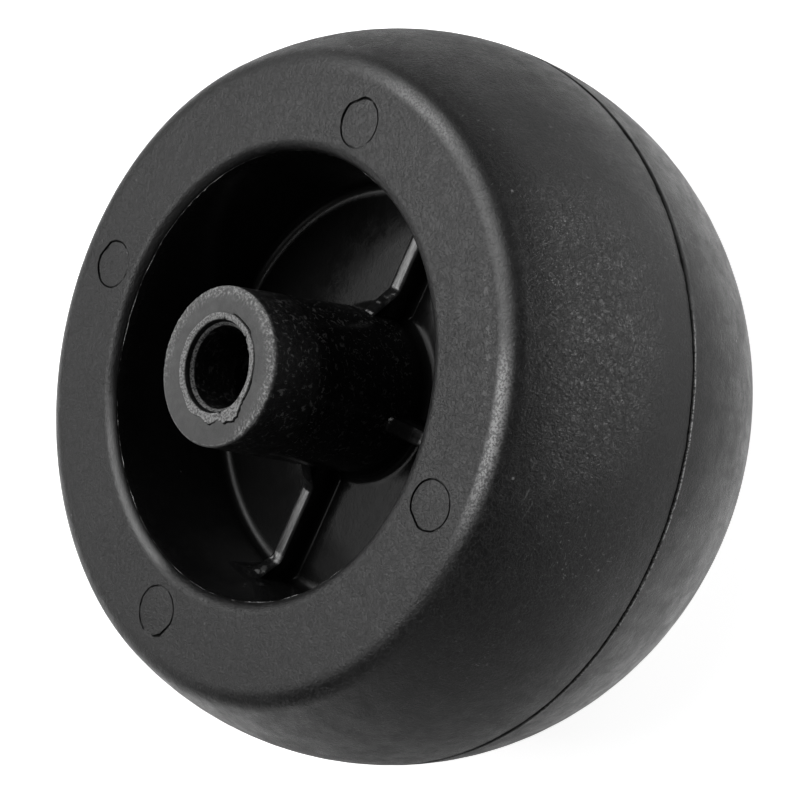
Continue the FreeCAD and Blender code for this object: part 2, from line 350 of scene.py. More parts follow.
def add_recess(skin, mirrored):
    """Rings of one recess from its mouth to the hub's side, with ribs; a mirrored one is at the back."""
    mouth, section = recess_section(MOUTH_TURN if mirrored else FLASH_TURN)
    rings = [] if mirrored else add_front_mouth(skin, mouth)
    section = (mouth if mirrored else []) + section + hub_side(HUB_HEIGHTS)
    for radius, height in section:
        angles = columns(radius)
        up = np.maximum(height, WEB_FRONT + rib_rise(radius, angles))
        rings.append(skin.ring(radius, angles, WIDTH - up if mirrored else up))
    return rings


# The parting line is a ragged groove darkened by painted shade, with a thin ridge behind it along the lower
# side that carries a painted glint.
# Its rings: place along the axle, lift, how far the ridge raises it, and how much painted shade darkens it.
SEAM_RINGS = (
    (-0.8, 0.0, 0.0, 0.0), (-0.42, 0.0, 0.02, 0.0),
    (-0.33, 0.02, 0.15, 0.0), (-0.16, -0.02, 0.14, 0.1),
    (-0.02, -0.18, -0.02, 1.0), (0.20, -0.16, 0.0, 1.0),
    (0.32, 0.0, 0.0, 0.15), (0.7, 0.0, 0.0, 0.0),
)
SEAM_TURN = 0.04
SEAM_SINK = 0.05

# Rings from this place on belong to the groove, those between these two to its ragged lip
SEAM_GROOVE = -0.1
SEAM_LIP = (0.1, 0.5)
SEAM_WAVES = ((1.0, 60, 5.2), (0.5, 240, 2.9))
SEAM_LIP_WAVES = ((0.10, 420, 9.7),)
SEAM_WANDER = 0.06

# How much deeper the groove is with its waves and where it gapes, how much wider it is there and how much
# more painted shade darkens it
SEAM_DEEPER = (0.6, 1.2)
SEAM_WIDER = 1.1
SEAM_DARKER = 7
SEAM_SHADE = (0.85, 0.5)
SEAM_GAPING = ((1.0, -45, 2, 14), (1.0, -178, -122, 10))
SEAM_OPEN = ((0.7, -122, -62, 12),)
# Where the ridge and its painted glint run, their size and waves, and how light the glint is painted
RIDGE_AT = (-112, -60, 12)
RIDGE_SIZE = 0.7
RIDGE_WAVES = ((0.5, 90, 6.3),)
RIDGE_LIMITS = (0.1, 1.2)
RIDGE_GLINT = 9.0


def add_seam(skin, angles):
    """Rings of the parting line, with painted shade in its groove and a painted glint on its ridge."""
    line = ripples(angles, SEAM_WAVES)
    ridge = stretch(angles, *RIDGE_AT) * np.clip(RIDGE_SIZE + ripples(angles, RIDGE_WAVES), *RIDGE_LIMITS)
    gaping = stretches(angles, SEAM_GAPING)
    gape = np.maximum(gaping, stretches(angles, SEAM_OPEN))
    ragged = ripples(angles, SEAM_LIP_WAVES)
    deeper = 1 + SEAM_DEEPER[0] * line + SEAM_DEEPER[1] * gape
    rings = []
    for shift, lift, raised, dark in SEAM_RINGS:
        out = TREAD_R - SEAM_SINK - shift ** 2 / (2 * CROWN_R) + lift * deeper + raised * ridge
        wider = 1 + SEAM_WIDER * (gape if shift > SEAM_GROOVE else gaping)
        torn = ragged if SEAM_LIP[0] < shift < SEAM_LIP[1] else 0.0
        up = parting + shift * wider + SEAM_WANDER * line + torn
        # Painted shade in the groove, and a painted glint on the ridge
        shade = dark * (1 + SEAM_DARKER * gaping) * (SEAM_SHADE[0] + SEAM_SHADE[1] * line)
        rings.append(skin.ring(out, angles, up, RIDGE_GLINT * raised * ridge, np.clip(shade, 0, 1)))
    return rings


def add_tread(skin):
    """Rings from the back rim face over the tread to the front rim face."""
    angles = even_angles(TREAD_STEPS)
    middle_up = WIDTH / 2 - SHOULDER_R
    middle_out = crown_middle + math.sqrt((CROWN_R - SHOULDER_R) ** 2 - middle_up ** 2)
    reach = math.atan2(middle_up, middle_out - crown_middle)
    lean = math.degrees(reach)

    def crown(turns):
        """Section of the crown, by the turns away from its middle."""
        return [(crown_middle + CROWN_R * math.cos(a), parting + CROWN_R * math.sin(a)) for a in turns]

    back = arc(middle_out, SHOULDER_R, SHOULDER_R, -90, -lean, SHOULDER_STEPS)
    back += crown(np.linspace(-reach, -SEAM_TURN, CROWN_STEPS + 1)[1:])
    front = crown(np.linspace(SEAM_TURN, reach, CROWN_STEPS + 1)[:-1])
    front += arc(middle_out, WIDTH - SHOULDER_R, SHOULDER_R, lean, 90, SHOULDER_STEPS)
    rings = [skin.ring(r, angles, z) for r, z in back]
    rings += add_seam(skin, angles)
    return rings + [skin.ring(r, angles, z) for r, z in front]


# Ejector-pin marks: place on the front rim face and radius, then how wide the outline gapes, from and to
# which angle, and at which angle it is cut straight
MARKS = (
    (43.96, 1.38, 4.1, 0.22, 10, 118, 40),
    (0.10, 44.5, 4.2, 0.20, 20, 140, 68),
    (-44.85, 0.16, 4.3, 0.20, -142, -82, -112),
    (-0.50, -44.50, 3.95, 0.05, 48, 178, 150),
)
MARK_CUT = 0.93
MARK_FADE = 24

# Rings of a mark: distance outwards from its outline, height, and how much painted shade darkens it
MARK_RINGS = (
    (0.32, 0.0, 0.0), (0.13, 0.0, 0.0), (0.07, -0.25, 1.0),
    (-0.10, -0.25, 1.0), (-0.17, -0.05, 0.0), (-0.42, -0.04, 0.0),
)
MARK_PLAIN = 0.3
MARK_WAVES = ((1.0, 9, 4.0), (0.6, 31, 7.5))
MARK_WANDER = 0.04
MARK_WIDE = 0.8
MARK_WIDE_WAVES = ((0.5, 14, 3.3),)
MARK_WIDE_LIMITS = (0.2, 1.2)
MARK_THIN = 0.70
MARK_THIN_WAVES = ((0.5, 7, 11.5), (0.3, 26, 1.5))
MARK_DEEPER = 0.9
MARK_DEEP_LIMITS = (0.10, 1.35)
MARK_SHADE = 1.2


def mark_rings(skin, number):
    """Rings of one ejector-pin mark, around its own middle."""
    _, _, radius, gape, gape_from, gape_to, cut_at = MARKS[number]
    angles = even_angles(MARK_STEPS)
    wild = MARK_WANDER * ripples(angles, MARK_WAVES, number)
    uneven = MARK_WIDE + ripples(angles, MARK_WIDE_WAVES, number)
    wide = stretch(angles, gape_from, gape_to, MARK_FADE) * np.clip(uneven, *MARK_WIDE_LIMITS)
    thin = MARK_THIN + ripples(angles, MARK_THIN_WAVES, number)
    deep = np.clip(thin + MARK_DEEPER * wide, *MARK_DEEP_LIMITS)
    straight = MARK_CUT / np.maximum(np.cos(angles - math.radians(cut_at)), 0.1)
    outline = radius * np.minimum(1.0, straight)
    rings = []
    for shift, drop, dark in MARK_RINGS:
        out = outline + (wild if shift < MARK_PLAIN else 0.0) + shift
        out = out - (gape * wide if shift < 0 else 0.0)
        height = WIDTH + drop * (deep if dark else 1.0)
        # Painted shade darkens the outline's groove
        rings.append(skin.ring(out, angles, height, 0.0, dark * np.clip(MARK_SHADE * deep, 0, 1)))
    return rings


def add_front_face(skin, outer, inner):
    """The flat front rim face between two rings, with the outlines of the ejector pins cut into it."""
    edge_out, edge_in = outer[0], inner[0]
    known = edge_out + edge_in
    loops = [list(range(len(edge_out))), list(range(len(edge_out), len(known)))]
    for number, (x, y, *_) in enumerate(MARKS):
        for ring, _ in mark_rings(skin, number):
            loops.append(list(range(len(known), len(known) + len(ring))))
            known = known + ring
            for i in ring:
                px, py, pz = skin.points[i]
                skin.points[i] = (px + x, py + y, pz)
    spots = [Vector(skin.points[i][:2]) for i in known]
    edges = [(loop[i], loop[(i + 1) % len(loop)]) for loop in loops for i in range(len(loop))]
    found, _, triangles, origin, _, _ = delaunay_2d_cdt(spots, edges, [], 0, 1e-7)
    hole = set(edge_in)
    for triangle in triangles:
        corners = [known[origin[i][0]] for i in triangle]
        if hole.issuperset(corners):
            continue
        a, b, c = (found[i] for i in triangle)
        if (b - a).cross(c - a) < 0:
            corners.reverse()
        skin.faces.append(tuple(corners))


# The scuffed edge of the hub's front end: where it is, shares of wear on its rounding and on the face
# inside it, and the sizes of the lumps
SCUFF_AT = (-118, 108, 25)
SCUFF_EDGE = (0.2, 0.45, 0.7, 0.9, 1.0, 1.0, 0.9)
SCUFF_FACE = ((12.3, 0.95), (12.0, 0.85), (11.7, 0.65), (11.4, 0.4), (11.1, 0.2), (10.7, 0.05))
SCUFF_FACE_SHARE = 0.6
SCUFF_LUMP = 2.1
SCUFF_FINE = 5.0
SCUFF_FINE_SHIFT = 9
SCUFF_WEAR = (0.11, 0.05)
SCUFF_SIDEWAYS = 0.6
SCUFF_LOSS = 0.05
SCUFF_LIGHT = (0.4, 1.7, 1.3)
SCUFF_LIGHT_MOST = 1.2
# Painted highlight: how light the fully worn rings of the edge are all round
SCUFF_EDGE_HIGHLIGHT = 0.4


def scuffed_ring(skin, angles, radius, height, share, trim_and_highlight):
    """One ring of the hub's front edge, roughened and lightened by its share of the wear; fully worn rings
    also get a painted highlight all round.
    """
    rough = stretch(angles, *SCUFF_AT)
    lump = lumps(radius, angles, height, SCUFF_LUMP)
    fine = lumps(radius, angles, height, SCUFF_FINE, SCUFF_FINE_SHIFT)
    wear = share * rough * (SCUFF_WEAR[0] * lump + SCUFF_WEAR[1] * fine)
    light = np.clip(SCUFF_LIGHT[0] + SCUFF_LIGHT[1] * lump + SCUFF_LIGHT[2] * fine, 0, SCUFF_LIGHT_MOST)
    # Painted highlight along the whole edge
    edge_highlight = SCUFF_EDGE_HIGHLIGHT if share == 1.0 else 0.0
    loss = SCUFF_LOSS * share * rough
    out = radius + SCUFF_SIDEWAYS * wear - loss
    return skin.ring(out, angles, height + wear - loss, trim_and_highlight * np.maximum(rough * light, edge_highlight))


# Flash trimmed by hand around the bore: a raised lip, torn wider at one place
LIP_R = 8.75
LIP_EDGE = 0.1
LIP_WAVES = ((0.10, 24, 3.7), (0.05, 80, 1.1))
LIP_HUMPS = ((1.35, -124, 26), (0.65, -158, 14), (0.35, 172, 16))
LIP_RISE = 0.22
LIP_RISE_WAVES = ((0.05, 18, 9.1),)
TORN_AT = (-168, -106, 8)
TORN_WAVES = ((1.0, 110, 6.6), (0.6, 48, 2.2))
TORN_SIZE = 0.22
TORN_RISE_WAVES = ((0.16, 70, 4.4),)

# The gap outside the lip, darkened by painted shadow, nicks and a burr on its inner edge, and the faint
# waves of the flat face
GAP_LEAST = 0.03
GAP_FULL = 0.3
GAP_STRETCHES = ((0.34, -25, 4, 5), (0.30, -104, -84, 8), (0.5, -136, -106, 5))
GAP_HUMPS = ((0.45, -158, 5),)
NICK_HUMPS = ((0.6, 19, 2.2), (0.8, -28, 2.5), (0.7, -141, 3))
NICK_OUT = 0.35
BURR_HUMPS = ((0.25, -43, 3),)
INNER_WAVES = ((0.05, 30, 5.9),)
FACE_WAVES = ((0.02, 12, 7.7),)

# Rings outside the lip: the flat face, and where it sinks towards the gap
FACE_LEAST_R = 9.3
FACE_STRIP = 0.55
SINK_STRIP = 0.22
SINK = 0.04

# Rings of the lip: distance outwards, shares of the rise and of the gap's depth, how light the trimmed
# flash is, and how much painted shadow darkens it
LIP_RINGS = (
    (0.11, 0.0, 0.6, 0.0, 0.7),
    (0.02, 0.0, 1.0, 0.0, 1.0),
    (-0.03, 0.5, 0.4, 0.5, 0.4),
    (-LIP_EDGE, 1.0, 0.0, 0.9, 0.0),
)

# Rings across the lip's bumpy top, by their share of the way in, and how light they are
LIP_TOP = (0.25, 0.5, 0.75)
LIP_TOP_FALL = 0.35
LIP_TOP_LIGHT = 0.75
BUMP_SIZE = 0.05
BUMP_WAVES = (60, 70)
BUMP_SEED = (3, 5)
BUMP_TORN = 2

# Rings of the lip's inner edge: distance outwards, share of the rise, depth of the nicks, how light
INNER_RINGS = ((LIP_EDGE, 0.55, 0.3, 0.75), (0.0, 0.2, 0.45, 0.55))

# Rings down the flared step at the bore's mouth, by shares of the way, and of the ledge at its foot;
# painted shade darkens the step
STEP_SHARES = (0.15, 0.5, 0.85, 1.0)
STEP_LIGHT = 0.1
STEP_SHADE = 0.75
LEDGE_STRIP = (0.05, 0.04)
LEDGE_INNER = (0.1, 0.8)
LEDGE_WAVES = ((0.03, 40, 8.8),)
LEDGE_LIGHT = 0.5
BORE_EDGE_LIGHT = 0.3


def add_front_lip(skin, angles):
    """Rings of the trimmed flash on the hub's front face, and of the bore."""
    torn = stretch(angles, *TORN_AT)
    lip = LIP_R + ripples(angles, LIP_WAVES) + humps(angles, LIP_HUMPS)
    lip = lip + torn * TORN_SIZE * ripples(angles, TORN_WAVES)
    rise = LIP_RISE + ripples(angles, LIP_RISE_WAVES) + torn * ripples(angles, TORN_RISE_WAVES)
    gap = stretches(angles, GAP_STRETCHES) + humps(angles, GAP_HUMPS) + GAP_LEAST
    # How much painted shadow darkens the gap
    shade = np.clip(gap / GAP_FULL, 0, 1)
    nick = humps(angles, NICK_HUMPS)
    inner = LEAD_IN_R + ripples(angles, INNER_WAVES) + NICK_OUT * nick - humps(angles, BURR_HUMPS)
    flat = HUB_FRONT + ripples(angles, FACE_WAVES)

    rings = [skin.ring(np.maximum(lip + FACE_STRIP, FACE_LEAST_R), angles, flat)]
    rings.append(skin.ring(lip + SINK_STRIP, angles, flat - SINK * shade))
    for shift, up, down, light, dark in LIP_RINGS:
        rings.append(skin.ring(lip + shift, angles, flat + up * rise - down * gap, light, dark * shade))
    crest = lip - LIP_EDGE
    for share in LIP_TOP:
        waves = BUMP_WAVES[0] + BUMP_WAVES[1] * share
        seed = BUMP_SEED[0] + BUMP_SEED[1] * share
        bumps = BUMP_SIZE * ripple(angles, waves, seed) * (1 + BUMP_TORN * torn)
        out = crest - share * (crest - inner - LIP_EDGE)
        height = flat + rise * (1 - LIP_TOP_FALL * share) + bumps
        rings.append(skin.ring(out, angles, height, LIP_TOP_LIGHT))
    for shift, up, down, light in INNER_RINGS:
        rings.append(skin.ring(inner + shift, angles, flat + up * rise - down * nick, light))

    ledge = HUB_FRONT - LEAD_IN_DEPTH
    for share in STEP_SHARES:
        out = inner + share * (THROAT_R - inner)
        light = STEP_LIGHT * (1 - share)
        rings.append(skin.ring(out, angles, flat - share * LEAD_IN_DEPTH, light, STEP_SHADE))
    rings.append(skin.ring(THROAT_R - LEDGE_STRIP[0], angles, ledge - LEDGE_STRIP[1], LEDGE_LIGHT))
    low = ledge - LEDGE_INNER[1] * LEAD_IN_DROP + ripples(angles, LEDGE_WAVES)
    rings.append(skin.ring(BORE_R + LEDGE_INNER[0], angles, low, LEDGE_LIGHT))
    rings.append(skin.ring(BORE_R, angles, ledge - LEAD_IN_DROP, BORE_EDGE_LIGHT))
    for height in (ledge - LEAD_IN_DROP - BORE_GAP,) + BORE_HEIGHTS:
        rings.append(skin.ring(BORE_R, angles, height))
    return rings


def add_front_end(skin):
    """The hub's worn front end: scuffed edge, flat face, trimmed flash around the bore, and the bore."""
    angles = even_angles(END_STEPS)
    foot = HUB_FRONT - HUB_EDGE_ROUND + HUB_EDGE_ROUND * math.sin(DRAFT)
    edge_middle = hub_root - (foot - WEB_FRONT) * slope - HUB_EDGE_ROUND * math.cos(DRAFT)
    edge_up = HUB_FRONT - HUB_EDGE_ROUND
    edge = arc(edge_middle, edge_up, HUB_EDGE_ROUND, DRAFT_DEGREES, 90, EDGE_STEPS)

    rings = [scuffed_ring(skin, angles, r, z, 0.0, 0.0) for r, z in hub_side(HUB_END_HEIGHTS)]
    for (r, z), share in zip(edge, SCUFF_EDGE):
        rings.append(scuffed_ring(skin, angles, r, z, share, share))
    for r, share in SCUFF_FACE:
        rings.append(scuffed_ring(skin, angles, r, HUB_FRONT, SCUFF_FACE_SHARE * share, share))
    return rings + add_front_lip(skin, angles)


# Strips beside the edges of the plain back end
BACK_STRIP = 0.05
BACK_FACE_STRIP = 0.3
BACK_FACE_R = 10.0
BACK_EDGE_STRIP = 0.4


def add_back_end(skin):
    """The hub's plain back end, from the bore outwards."""
    angles = even_angles(END_STEPS // 2)
    ledge = HUB_BACK + LEAD_IN_DEPTH
    foot = ledge + LEAD_IN_DROP
    edge_middle = hub_back_end + HUB_EDGE_ROUND * slope - HUB_EDGE_ROUND * math.cos(DRAFT)
    edge_up = HUB_BACK + HUB_EDGE_ROUND
    section = [
        (BORE_R, foot + BORE_GAP),
        (BORE_R, foot),
        (BORE_R + BACK_STRIP, foot - BACK_STRIP),
        (THROAT_R - BACK_STRIP, ledge + BACK_STRIP),
        (THROAT_R, ledge),
        (LEAD_IN_R, HUB_BACK),
        (LEAD_IN_R + BACK_FACE_STRIP, HUB_BACK),
        (BACK_FACE_R, HUB_BACK),
        (edge_middle - BACK_EDGE_STRIP, HUB_BACK),
    ]
    section += arc(edge_middle, edge_up, HUB_EDGE_ROUND, -90, -DRAFT_DEGREES, BACK_EDGE_STEPS)
    return [skin.ring(r, angles, z) for r, z in section]


def wheel_mesh():
    """The whole moulding as one closed mesh."""
    skin = Skin()
    tread = add_tread(skin)
    front = add_recess(skin, False)
    front_end = add_front_end(skin)
    back_end = add_back_end(skin)
    back = add_recess(skin, True)
    back.reverse()

    steps = tread[0][1]
    face_out = skin.ring(skin.radius(tread[-1]) - SHOULDER_STRIP, steps, WIDTH)
    mouth_in = skin.radius(front[0]) + MOUTH_STRIP
    face_in = skin.ring(mouth_in, steps, WIDTH)
    back_in = skin.ring(mouth_in, columns(mouth_in), 0.0)
    back_out = skin.ring(skin.radius(tread[0]) - SHOULDER_STRIP, steps, 0.0)

    skin.chain(tread + [face_out])
    add_front_face(skin, face_out, face_in)
    skin.chain([face_in] + front + front_end + back_end + back + [back_in, back_out, tread[0]])

    mesh = bpy.data.meshes.new("deck_wheel_skin")
    points = [(x * MM, y * MM, z * MM) for x, y, z in skin.points]
    mesh.from_pydata(points, [], skin.faces)
    for name, values in (("trim_and_highlight", skin.trim_and_highlight), ("crease_shade", skin.crease_shade)):
        attribute = mesh.attributes.new(name, "FLOAT", "POINT")
        attribute.data.foreach_set("value", np.array(values, np.float32))
    mesh.validate()
    mesh.shade_smooth()
    mesh.set_sharp_from_angle(angle=SHARP_ANGLE)
    return mesh


def add_piece(name, mesh, material):
    """Adds an object of one mesh and one material."""
    piece = bpy.data.objects.new(name, mesh)
    bpy.context.scene.collection.objects.link(piece)
    mesh.materials.append(material)
    return piece


def grey(level):
    """A neutral colour."""
    return (level, level, level, 1)


class Graph:
    """Nodes of one material, added and wired by short calls."""

    def __init__(self, name):
        self.material = bpy.data.materials.new(name)
        self.material.use_nodes = True
        self.tree = self.material.node_tree
        self.tree.nodes.clear()

    def feed(self, socket, value):
        """Feeds an input by a link or by a plain value."""
        if isinstance(value, bpy.types.NodeSocket):
            self.tree.links.new(value, socket)
        else:
            socket.default_value = value

    def node(self, kind, inputs=None, **settings):
        """Adds a node, sets what it is and feeds its inputs."""
        made = self.tree.nodes.new(kind)
        for key, value in settings.items():
            setattr(made, key, value)
        for key, value in (inputs or {}).items():
            self.feed(made.inputs[key], value)
        return made

    def math(self, operation, first, second=0.0, third=0.0, clamp=False):
        """One step of arithmetic."""
        values = {0: first, 1: second, 2: third}
        return self.node("ShaderNodeMath", values, operation=operation, use_clamp=clamp).outputs[0]

    def times(self, first, second):
        """Product of two values."""
        return self.math("MULTIPLY", first, second)

    def plus(self, first, second, share=1.0, clamp=False):
        """A value with a share of another added."""
        return self.math("MULTIPLY_ADD", second, share, first, clamp)

    def lowered(self, value, where, share):
        """A value without a share of it where a mask is 1."""
        return self.times(value, self.plus(1.0, where, -share))

    def along(self, place, way):
        """How far a place lies along a direction."""
        inputs = {0: place, 1: tuple(way)}
        return self.node("ShaderNodeVectorMath", inputs, operation="DOT_PRODUCT").outputs["Value"]

    def noise(self, place, scale, detail, roughness, distortion=0.0):
        """Smooth noise of about 0 to 1."""
        inputs = {"Vector": place, "Scale": scale, "Detail": detail, "Roughness": roughness}
        inputs["Distortion"] = distortion
        return self.node("ShaderNodeTexNoise", inputs).outputs["Fac"]

    def span(self, value, low, high, new_low=0.0, new_high=1.0):
        """Maps a range smoothly onto another."""
        inputs = {"Value": value, "From Min": low, "From Max": high, "To Min": new_low, "To Max": new_high}
        return self.node("ShaderNodeMapRange", inputs, interpolation_type="SMOOTHSTEP").outputs["Result"]

    def plateau(self, value, low, full, still, high):
        """0 up to low, 1 from full to still, and 0 again from high."""
        return self.times(self.span(value, low, full), self.span(value, high, still))

    def bump(self, height, strength, distance, normal=None):
        """Relief of a height, over the relief of another normal if there is one."""
        inputs = {"Height": height, "Strength": strength, "Distance": distance}
        if normal is not None:
            inputs["Normal"] = normal
        return self.node("ShaderNodeBump", inputs).outputs[0]

    def mix(self, share, first, second):
        """Mixes two colours."""
        made = self.node("ShaderNodeMix", {0: share}, data_type="RGBA")
        self.feed(made.inputs[6], first)
        self.feed(made.inputs[7], second)
        return made.outputs[2]


# Zones where the plastic's looks change: ranges of radius and height in metres and of the angle in radians.
# Two numbers are where a change starts and ends. Four are a band: its start, where it is full, and its end.
END = ((0.0074, 0.0078), (0.0726, 0.0731))
TREAD = ((0.0515, 0.0535),)
RECESS = ((0.0374, 0.0371), (0.0640, 0.0625))
# Deep in the recess, darkened by painted shade
DEEP_SHADE = (None, (0.0440, 0.0390))
BORE = ((0.0070, 0.0069),)
HUB_SIDE = ((0.0146, 0.0143), (0.040, 0.043, 0.0724, 0.0728))
COLLAR = ((0.0146, 0.0143), (0.0540, 0.0600, 0.0722, 0.0727))
RIB_REACH = (0.0142, 0.0146, 0.0352, 0.0357)
RIB_TOPS = (RIB_REACH, (0.0400, 0.0420, 0.0428, 0.0440))
GUSSETS = (RIB_REACH, (0.0426, 0.0436))
CORNER = ((0.0342, 0.0350, 0.0363, 0.0368), (0.0402, 0.0392))
CORNER_LIT = (None, None, (0.10, 0.40, 1.35, 1.90))
KINK_AT_HUB = ((0.0136, 0.0146, 0.0182, 0.0196),)
KINK_AT_WALL = ((0.0318, 0.0335),)
KINK_LEVEL = (None, (0.0388, 0.0410, 0.0470, 0.0490))
# Where the tread is wrinkled and its painted glints gather
RUBBED = ((0.0540, 0.0575), (0.036, 0.052))
RUBBED_RIGHT = (None, None, (-1.50, -1.14, -0.80, -0.42))
RUBBED_TOP = (None, None, (-0.35, -0.05, 0.45, 0.80))
UNRUBBED = ((0.0530, 0.0542, 0.0554, 0.0585), (0.0510, 0.0540), (-1.60, -1.20, 0.20, 0.60))
NICKED = ((0.0550, 0.0585),)
# The front shoulder's band, partly wear and partly a painted highlight, and a wider faint painted highlight
# along it
SHOULDER = ((0.0503, 0.0516, 0.0518, 0.0537), (0.0595, 0.0620))
SHOULDER_RIGHT = (None, None, (-1.72, -1.28, -1.18, -0.98))
SHOULDER_TOP = (None, None, (-0.45, -0.30, -0.12, 0.05))
SHOULDER_PAINTED_SHEEN = (None, None, (-1.80, -1.20, -0.10, 0.40))
SCRAPE = ((0.0482, 0.0486, 0.0490, 0.0495), None, (-1.30, -1.15, -0.85, -0.75))
FRONT = (None, (0.0590, 0.0600))
# A painted highlight on the front mouth's rounding
MOUTH = ((0.0372, 0.0379, 0.0381, 0.0390), (0.0615, 0.0625), (2.0, 2.35, 2.95, 3.14))

# Where the web's dullness ends, how near a rib's middle its kinks are, where the hub's end gets darker
ABOVE_WEB = (0.0385, 0.0420)
KINK_ASIDE = (0.0045, 0.0028)
END_DOWN = (0.003, 0.013)
END_DARK_WAY = (-0.896, -0.445, 0.0)

# Noises of the plastic: scale, detail, roughness and distortion
BROAD = (55.0, 4.0, 0.6)
MIDDLE = (420.0, 5.0, 0.65)
WRINKLE = (1100.0, 3.0, 0.6, 1.0)
FINE = (2600.0, 3.0, 0.6)
STREAK = (120.0, 3.0, 0.55, 0.4)
# Specks of painted glints
GLINT_SPECKS = (3600.0, 2.0, 0.5)
NICK = (1500.0, 3.0, 0.65, 1.2)
BLOTCH = (170.0, 3.0, 0.6, 0.6)
DRAG = (2400.0, 3.0, 0.6)
LUMP = (480.0, 1.0, 0.5)

# How scratches are turned and drawn out, how small and rare dust is, and how drag marks run along the ribs
SCRATCH_TURN = (0.4, 0.3, 0.9)
SCRATCH_SCALE = (1.0, 14.0, 9.0)
DUST_SCALE = 520.0
DUST_FEW = 0.93
DRAG_ALONG = 0.12

# Colours: mottled black, marks and painted glints, rubbed places and painted highlights, the hub's end,
# trimmed places and painted highlights, and painted shade in dark lines and deep corners
BLACK_LOW = (0.006, 0.006, 0.0062, 1)
BLACK_HIGH = (0.009, 0.009, 0.0092, 1)
BLACK_PALE = (0.014, 0.014, 0.0144, 1)
MARK_COLOUR = grey(0.20)
RUB_AND_HIGHLIGHT_COLOUR = grey(0.40)
END_LOW = grey(0.070)
END_HIGH = grey(0.104)
END_DARK = grey(0.05)
TRIM_AND_HIGHLIGHT_COLOUR = (0.36, 0.36, 0.358, 1)
HUB_FLECK = grey(0.16)
CREASE_SHADE_COLOUR = grey(0.004)
DEEP_SHADE_COLOUR = grey(0.006)

# Roughness of the plain plastic, and how much it changes where the name says
SHINE = (0.36, 0.46)
SHINE_BLOTCH = (-0.05, 0.05)
SHINE_RECESS = -0.22
SHINE_RIBS = 0.13
SHINE_END = 0.22
SHINE_RUB = 0.2
SHINE_TRIM = 0.15

# Specular level of the plain plastic and of the deep web, what ribs and the corner add, and shares lost
GLOSS = 0.5
GLOSS_WEB = 0.14
GLOSS_RIBS = (0.30, 0.95)
GLOSS_CORNER = 0.12
GLOSS_CORNER_LIT = 0.33
DULL_GUSSETS = 0.6
DULL_CREASE = 0.95
DULL_COLLAR = 0.6
DULL_UNRUBBED = 0.42
PLASTIC_IOR = 1.5

# Reliefs: strength and height in metres
GRAIN_RELIEF = (0.6, 0.00030)
WRINKLE_RELIEF = (0.9, 0.00055)
KINK_RELIEF = (0.8, 0.0009)
WAVE_RELIEF = (0.35, 0.0002)


